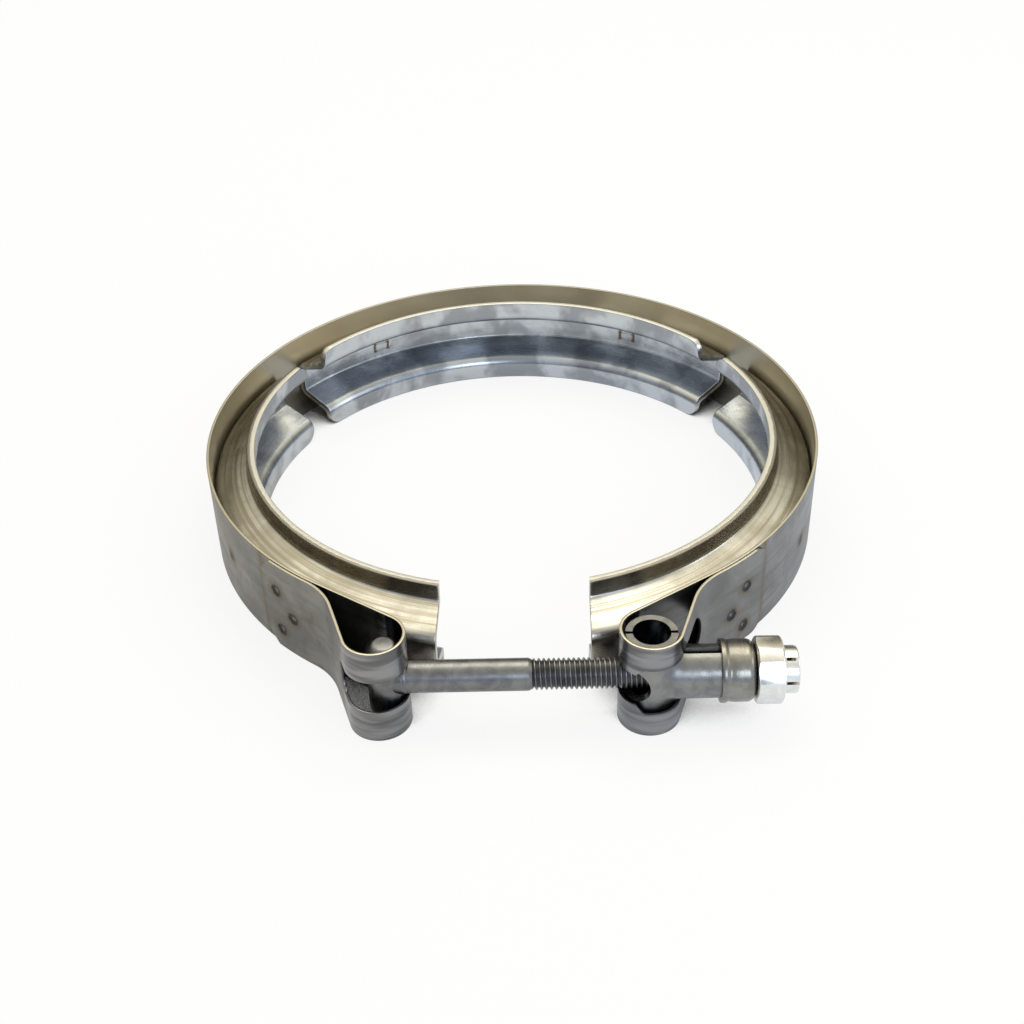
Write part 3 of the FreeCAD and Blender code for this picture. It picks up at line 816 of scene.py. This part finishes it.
def makeStud():
    s = boltSettings
    shankEnd = headX + s["shankLength"]
    turns = math.ceil((s["tipX"] - shankEnd) / s["pitch"]) + 2
    start = shankEnd - s["pitch"]
    flank = s["pitch"] * (1 - s["crestShare"]) / 2
    bm = bmesh.new()
    outline = [
        (0, s["root"]), (flank * 0.12, s["root"] + 0.03),
        (flank * 0.93, s["thread"] - 0.06), (flank, s["thread"]),
        (flank + s["pitch"] * s["crestShare"], s["thread"]),
        (flank * 1.07 + s["pitch"] * s["crestShare"], s["thread"] - 0.06),
        (s["pitch"] - flank * 0.12, s["root"] + 0.03), (s["pitch"], s["root"]),
    ]
    spinOutline(bm, [(start + x, radius) for x, radius in outline], turns * s["threadSteps"], turns,
                s["pitch"] / s["threadSteps"], False)
    bmesh.ops.remove_doubles(bm, verts=bm.verts[:], dist=0.01)
    for x, side in ((shankEnd + 0.1, -1), (s["tipX"], 1)):
        bisect(bm, Vector((x, 0, 0)), Vector((side, 0, 0)), clear=True)
    for vert in bm.verts:
        over = vert.co.x - (s["tipX"] - s["tipChamfer"])
        radius = math.hypot(vert.co.y, vert.co.z)
        if over > 0 and radius > s["thread"] - over:
            shrink = (s["thread"] - over) / radius
            vert.co.y *= shrink
            vert.co.z *= shrink
    rims = [edge for edge in bm.edges if edge.is_boundary]
    bmesh.ops.contextual_create(bm, geom=[e for e in rims if e.verts[0].co.x > 60])
    bmesh.ops.contextual_create(bm, geom=[e for e in rims if e.verts[0].co.x < 60])
    shank = turnedBody(softened([
        (headX, 0), (headX, s["shank"]), (shankEnd - s["chamfer"], s["shank"]),
        (shankEnd, s["root"] + 0.45), (shankEnd + 0.35, s["root"] - 0.1), (shankEnd + 0.35, 0),
    ], 0.15, 2, skip=(1, 4)))
    weldFoot = headX + s["head"]
    weldTop = s["shank"] + s["weldHeight"]
    weld = turnedBody(softened([
        (headX, 0), (headX, weldTop), (weldFoot - 0.6, weldTop),
        (weldFoot + s["weldReach"] * 0.3, s["shank"] + 0.15),
        (weldFoot + s["weldReach"], s["shank"] - 0.1), (weldFoot + s["weldReach"], 0),
    ], 0.7, 5, skip=(1, 4)), 96)
    for vert in weld.verts:
        if vert.co.x > headX + 2:
            bumpy = 0.995 + 0.01 * noise.noise(vert.co * 1.6) + 0.008 * noise.noise(vert.co * 3.7)
            vert.co.y *= bumpy
            vert.co.z *= bumpy
    for other in (shank, weld):
        joining = meshObject("joining", other)
        bm.from_mesh(joining.data)
        removeObject(joining)
    bmesh.ops.translate(bm, vec=(0, axisY, 0), verts=bm.verts[:])
    return makePiece("studThread", bm, boltMetal, "t_bolt", "t_bolt_stud", 40)


def makeHead():
    s = boltSettings
    bm = bmesh.new()
    bmesh.ops.create_cone(
        bm, cap_ends=True, segments=72, radius1=s["head"], radius2=s["head"], depth=s["headLength"],
        matrix=Matrix.Translation((headX, axisY, 0)))
    for offset, segments in ((s["headChamfer"], 1), (s["headSoft"], 3)):
        rims = [edge for edge in bm.edges if abs(edge.verts[0].co.z - edge.verts[1].co.z) < 1e-4]
        bmesh.ops.bevel(bm, geom=rims, offset=offset, offset_type="OFFSET", segments=segments, profile=0.5,
                        affect="EDGES", material=-1, clamp_overlap=False)
    return makePiece("headBar", bm, boltMetal, "t_bolt", "t_bolt_head", 40)


makeStud()
makeHead()
print("stage 5: T-bolt made")


# Trunnion

trunnionSettings = {
    "sheet": 1.8, "barrel": 6.5, "halfLength": 13.05, "tubeInner": 5.0, "tubeOuter": 6.8, "tubeLength": 24.8,
    "mouthRadius": 4.95, "mouthEdge": 0.4, "seamSpread": 0.7, "veeFoot": 0.4, "veeSpread": 1.1, "seamStart": 1.6,
    "voxel": 0.32, "blend": 3.2,
}
loopX = -route["loop"].x


def closedCylinder(radius, start, end, segments=64):
    along = Vector(end) - Vector(start)
    turn = along.to_track_quat("Z", "Y").to_matrix().to_4x4()
    matrix = Matrix.Translation((Vector(start) + Vector(end)) / 2) @ turn
    bm = bmesh.new()
    bmesh.ops.create_cone(bm, cap_ends=True, segments=segments, radius1=radius, radius2=radius,
                          depth=along.length, matrix=matrix)
    return bm


def closedBox(low, high):
    bm = bmesh.new()
    bmesh.ops.create_cube(bm, size=1)
    size = Vector(high) - Vector(low)
    bmesh.ops.scale(bm, vec=size, verts=bm.verts[:])
    bmesh.ops.translate(bm, vec=(Vector(low) + Vector(high)) / 2, verts=bm.verts[:])
    return bm


def blendedDistance(point, s):
    # signed distance to an upright barrel and a level tube, melted together where they meet
    barrel = math.hypot(point.x, point.y) - s["barrel"]
    if point.x < 0:
        tube = point.length - s["tubeOuter"]
    else:
        tube = math.hypot(point.y, point.z) - s["tubeOuter"]
    near = max(s["blend"] - abs(barrel - tube), 0) / s["blend"]
    return min(barrel, tube) - near ** 3 * s["blend"] / 6


def makeTrunnion():
    s = trunnionSettings
    over = 3.0
    body = booleanCut(
        closedCylinder(s["barrel"], (0, 0, -s["halfLength"] - over), (0, 0, s["halfLength"] + over), 96),
        [closedCylinder(s["tubeOuter"], (0, 0, 0), (s["tubeLength"] + over, 0, 0), 96)], "UNION")
    melted = meshObject("melting", body)
    remesh = melted.modifiers.new("remesh", "REMESH")
    remesh.mode = "VOXEL"
    remesh.voxel_size = s["voxel"]
    applyModifiers(melted)
    bm = bmesh.new()
    bm.from_mesh(melted.data)
    removeObject(melted)
    tiny = 0.01
    for vert in bm.verts:
        for _ in range(3):
            point = vert.co
            here = blendedDistance(point, s)
            slope = Vector([
                blendedDistance(point + step, s) - here
                for step in (Vector((tiny, 0, 0)), Vector((0, tiny, 0)), Vector((0, 0, tiny)))
            ]) / tiny
            if slope.length > 0.1 and abs(here) < 1.5:
                vert.co = point - slope * (here / slope.length_squared)
    for point, normal in (
        ((0, 0, s["halfLength"]), (0, 0, 1)),
        ((0, 0, -s["halfLength"]), (0, 0, -1)),
        ((s["tubeLength"], 0, 0), (1, 0, 0)),
    ):
        bmesh.ops.bisect_plane(bm, geom=everything(bm), dist=1e-5, plane_co=point, plane_no=normal, clear_outer=True)
        rims = [edge for edge in bm.edges if edge.is_boundary]
        bmesh.ops.contextual_create(bm, geom=rims)
    mouthX = -s["mouthEdge"] - s["mouthRadius"]
    seamLow = s["tubeOuter"] + s["seamStart"]
    cutters = [
        closedCylinder(s["barrel"] - s["sheet"], (0, 0, -20), (0, 0, 20), 96),
        closedCylinder(s["tubeInner"], (0, 0, 0), (40, 0, 0), 72),
        closedCylinder(s["mouthRadius"], (mouthX, -20, 0), (mouthX, 20, 0), 96),
        closedBox((-20, -20, -s["mouthRadius"]), (mouthX, 20, s["mouthRadius"])),
    ]
    for sideX in (-9, 9):
        for sideZ in (seamLow, -20):
            # a wedge that opens outwards
            seam = closedBox((min(sideX, 0), -s["seamSpread"], sideZ),
                             (max(sideX, 0), s["seamSpread"], sideZ + 20 - seamLow))
            narrow = [vert for vert in seam.verts if abs(vert.co.x) < 1]
            bmesh.ops.scale(seam, vec=(1, 0.1, 1), verts=narrow)
            cutters.append(seam)
    # the tube's own seam runs along its top, open at the foot and flared at the surface
    flare = (s["veeSpread"] - s["veeFoot"]) / s["sheet"]
    low, high = s["tubeInner"] - 0.3, s["tubeOuter"] + 2.0
    wide = s["veeFoot"] + flare * (high - s["tubeInner"])
    vee = closedBox((7.0, -wide, low), (40, wide, high))
    narrow = [vert for vert in vee.verts if vert.co.z < high - 1]
    bmesh.ops.scale(vee, vec=(1, (wide - flare * (high - low)) / wide, 1), verts=narrow)
    cutters.append(vee)
    bm = booleanCut(bm, cutters)
    bmesh.ops.remove_doubles(bm, verts=bm.verts[:], dist=0.01)
    bmesh.ops.dissolve_degenerate(bm, edges=bm.edges[:], dist=0.01)
    bmesh.ops.translate(bm, vec=(loopX, axisY, 0), verts=bm.verts[:])
    return makePiece("foldedTrunnion", bm, trunnionMetal, "trunnion_unit", "trunnion", 35)


makeTrunnion()
print("stage 6: trunnion folded")


# Ferrule and lock nut

ferruleSettings = {
    "endX": 60.0, "length": 8.7, "bore": 6.83, "wall": 1.05, "endWall": 1.0, "hole": 4.5,
    "endRadius": 2.1, "lipHeight": 0.2, "lipLength": 1.9,
}


def makeFerrule():
    s = ferruleSettings
    end, start = s["endX"], s["endX"] - s["length"]
    outer = s["bore"] + s["wall"]
    lip = outer + s["lipHeight"]
    shoulder = []
    for degrees in range(0, 91, 10):
        spoke = polar(s["endRadius"], degrees)
        shoulder.append((end - s["endRadius"] + spoke.y, outer - s["endRadius"] + spoke.x))
    waist = start + s["lipLength"]
    mouth = [
        (start, s["bore"]), (start, lip - 0.25), (start + 0.08, lip - 0.08), (start + 0.25, lip),
        (waist - 0.75, lip - 0.01), (waist - 0.4, lip - 0.12), (waist, outer - 0.16),
        (waist + 0.5, outer - 0.14), (waist + 1.1, outer - 0.05), (waist + 1.7, outer),
    ]
    inside = [
        (end, s["hole"] + 0.15), (end - 0.15, s["hole"]), (end - s["endWall"], s["hole"]),
        (end - s["endWall"], s["bore"]), (start, s["bore"]),
    ]
    bm = bmesh.new()
    spinOutline(bm, mouth + shoulder + inside, 96)
    bmesh.ops.translate(bm, vec=(0, axisY, 0), verts=bm.verts[:])
    return makePiece("ferruleCap", bm, ferruleMetal, "trunnion_unit", "ferrule", 60)


nutSettings = {
    "startX": 60.05, "flats": 16.0, "corner": 8.5, "height": 6.9, "chamferAngle": 30.0, "turned": 36.0,
    "beamRadius": 6.0, "beamLength": 3.7, "slots": 6, "slotWidth": 0.9, "slotDepth": 3.3, "bore": 4.05, "edge": 0.22,
}


def makeNut():
    s = nutSettings
    flat = s["flats"] / 2 - 0.3
    fall = (s["corner"] - flat) * math.tan(math.radians(s["chamferAngle"]))
    across = s["flats"] / math.cos(math.radians(30))
    hexagon = bmesh.new()
    bmesh.ops.create_cone(
        hexagon, cap_ends=True, segments=6, radius1=across / 2, radius2=across / 2, depth=s["height"],
        matrix=Matrix.Translation((s["height"] / 2, 0, 0))
        @ Matrix.Rotation(math.radians(150 - s["turned"]), 4, "X") @ Matrix.Rotation(math.radians(90), 4, "Y"))
    rounding = turnedBody(softened([
        (0, 0), (0, flat), (fall, s["corner"]),
        (s["height"] - fall, s["corner"]), (s["height"], flat), (s["height"], 0),
    ], 0.35, 4), 120)
    bm = booleanCut(hexagon, [rounding], "INTERSECT")
    crown = turnedBody(softened([
        (s["height"] - 1, 0), (s["height"] - 1, s["beamRadius"]), (s["height"] + s["beamLength"], s["beamRadius"]),
        (s["height"] + s["beamLength"], 0)], 0.5, 4, skip=(1,)), 96)
    bm = booleanCut(bm, [crown], "UNION")
    top = s["height"] + s["beamLength"]
    cutters = [closedCylinder(s["bore"], (-2, 0, 0), (top + 2, 0, 0), 72)]
    for i in range(s["slots"]):
        slot = closedBox((top - s["slotDepth"], -s["slotWidth"] / 2, 0),
                         (top + 1, s["slotWidth"] / 2, s["beamRadius"] + 1))
        turn = math.radians(360 / s["slots"] * (i + 0.5) + 90 - s["turned"])
        bmesh.ops.rotate(slot, cent=(0, 0, 0), matrix=Matrix.Rotation(turn, 3, "X"), verts=slot.verts[:])
        cutters.append(slot)
    bm = booleanCut(bm, cutters)
    bmesh.ops.remove_doubles(bm, verts=bm.verts[:], dist=0.004)
    bmesh.ops.dissolve_limit(bm, angle_limit=0.02, verts=bm.verts[:], edges=bm.edges[:])
    bmesh.ops.holes_fill(bm, edges=[edge for edge in bm.edges if edge.is_boundary], sides=12)
    bmesh.ops.translate(bm, vec=(s["startX"], axisY, 0), verts=bm.verts[:])
    piece = makePiece("slottedNut", bm, nutMetal, "nut", "lock_nut", 40)
    rounds = piece.modifiers.new("soft edges", "BEVEL")
    rounds.width = s["edge"] * mm
    rounds.segments = 3
    rounds.limit_method = "ANGLE"
    rounds.angle_limit = math.radians(35)
    rounds.harden_normals = True
    return piece


makeFerrule()
makeNut()
print("stage 7: ferrule and nut made")


# Stage, light and camera

def makeStage():
    bm = bmesh.new()
    bmesh.ops.create_grid(bm, x_segments=1, y_segments=1, size=3)
    floor = meshObject("floor", bm)
    # just below the strap's lower edge
    floor.data.transform(Matrix.Translation((0, 0, -0.01436)))
    material, tree, shader = newMaterial("whiteFloor")
    shader.inputs["Roughness"].default_value = 0.9
    shader.inputs["Specular IOR Level"].default_value = 0.0
    # where the clamp encloses the floor, the glow gives way to the floor's real shade, and the floor's colour is
    # darkened there as painted shade
    near = addNode(tree, "ShaderNodeAmbientOcclusion", {"Distance": 0.03}, samples=8)
    openness = ramp(tree, near.outputs["AO"], 0.17, 0.33)
    tree.links.new(blendColours(tree, openness, (0.05, 0.045, 0.03), (0.88, 0.88, 0.88)), shader.inputs["Base Color"])
    rays = addNode(tree, "ShaderNodeLightPath")
    place = addNode(tree, "ShaderNodeTexCoord").outputs["Object"]
    # painted light: seen in reflections, the floor glows brighter and bluer to the right and warmer to the left
    rightward = ramp(tree, addNode(tree, "ShaderNodeSeparateXYZ", {0: place}).outputs[0], -0.12, 0.14)
    mirrored = larger(tree, rays.outputs["Is Glossy Ray"], rays.outputs["Is Transmission Ray"])
    mirrored = times(tree, mirrored, ramp(tree, rightward, 0.0, 1.0, 0.42, 0.72))
    share = larger(tree, times(tree, rays.outputs["Is Camera Ray"], 0.85), mirrored)
    share = times(tree, share, openness)
    tint = blendColours(tree, rightward, (1.0, 0.98, 0.93), (0.91, 0.97, 1.06))
    tint = blendColours(tree, rays.outputs["Is Camera Ray"], tint, (1, 1, 1))
    glow = addNode(tree, "ShaderNodeEmission", {"Color": tint, "Strength": 1.0})
    mixed = addNode(tree, "ShaderNodeMixShader", {0: share, 1: shader.outputs[0], 2: glow.outputs[0]})
    tree.links.new(mixed.outputs[0], tree.nodes["Material Output"].inputs["Surface"])
    floor.data.materials.append(material)


def makeWorld():
    world = bpy.data.worlds.new("studio")
    bpy.context.scene.world = world
    world.use_nodes = True
    tree = world.node_tree
    background = tree.nodes["Background"]
    direction = addNode(tree, "ShaderNodeTexCoord").outputs["Generated"]
    parts = addNode(tree, "ShaderNodeSeparateXYZ", {0: direction}).outputs
    back = ramp(tree, parts[1], -0.45, 0.25)
    risen = ramp(tree, parts[2], 0.2, 0.85)
    rightward = ramp(tree, parts[0], -0.7, 0.7)
    behind = blendColours(tree, risen, (0.10, 0.09, 0.06), (1.35, 1.27, 1.0))
    ahead = blendColours(tree, rightward, (0.28, 0.30, 0.36), (0.80, 0.92, 1.15))
    ahead = blendColours(tree, risen, ahead, (0.75, 0.75, 0.72))
    sky = blendColours(tree, back, ahead, behind)
    rays = addNode(tree, "ShaderNodeLightPath")
    colour = blendColours(tree, rays.outputs["Is Camera Ray"], sky, (1, 1, 1))
    tree.links.new(colour, background.inputs["Color"])
    background.inputs["Strength"].default_value = 1.0


def areaLight(name, place, target, width, height, power, colour=(1, 1, 1)):
    data = bpy.data.lights.new(name, "AREA")
    data.shape = "RECTANGLE"
    data.size, data.size_y, data.energy, data.color = width, height, power, colour
    lamp = bpy.data.objects.new(name, data)
    bpy.context.scene.collection.objects.link(lamp)
    lamp.location = place
    lamp.rotation_euler = (Vector(target) - Vector(place)).to_track_quat("-Z", "Y").to_euler()


# the camera that was fitted to the photo: angles in degrees, lengths in millimetres, focal length in pixels
cameraSettings = {
    "azimuth": 0.86, "elevation": 36.03, "roll": -1.71,
    "distance": 442.35, "shiftRight": -0.134, "shiftUp": -14.52, "focal": 1465, "pixels": 1024,
}


def makeCamera():
    s = cameraSettings
    azimuth, elevation, roll = (math.radians(s[name]) for name in ("azimuth", "elevation", "roll"))
    level = math.cos(elevation)
    back = Vector((math.sin(azimuth) * level, -math.cos(azimuth) * level, math.sin(elevation)))
    right = (-back).cross(Vector((0, 0, 1))).normalized()
    up = right.cross(-back)
    right, up = (right * math.cos(roll) + up * math.sin(roll)), (up * math.cos(roll) - right * math.sin(roll))
    place = (back * s["distance"] + right * s["shiftRight"] + up * s["shiftUp"]) * mm
    data = bpy.data.cameras.new("photoCamera")
    data.sensor_width = 36
    data.lens = s["focal"] / s["pixels"] * data.sensor_width
    data.clip_start = 0.01
    data.clip_end = 20
    camera = bpy.data.objects.new("photoCamera", data)
    bpy.context.scene.collection.objects.link(camera)
    turn = Matrix((right, up, back)).transposed().to_4x4()
    camera.matrix_world = Matrix.Translation(place) @ turn
    bpy.context.scene.camera = camera


makeStage()
makeWorld()
areaLight("overheadPanel", (0.05, 0.35, 0.85), (0, 0, 0), 0.7, 0.5, 2.2, (1.0, 0.96, 0.86))
areaLight("windowPanel", (0.25, -0.85, 0.42), (0.04, -0.09, 0), 0.3, 0.3, 1.1, (0.78, 0.9, 1.0))
areaLight("rightPanel", (0.8, -0.1, 0.35), (0, 0, 0), 0.3, 0.4, 0.8, (0.9, 0.95, 1.0))
makeCamera()
bpy.context.scene.view_settings.view_transform = "Standard"
print("stage 8: floor, lamps and camera set")
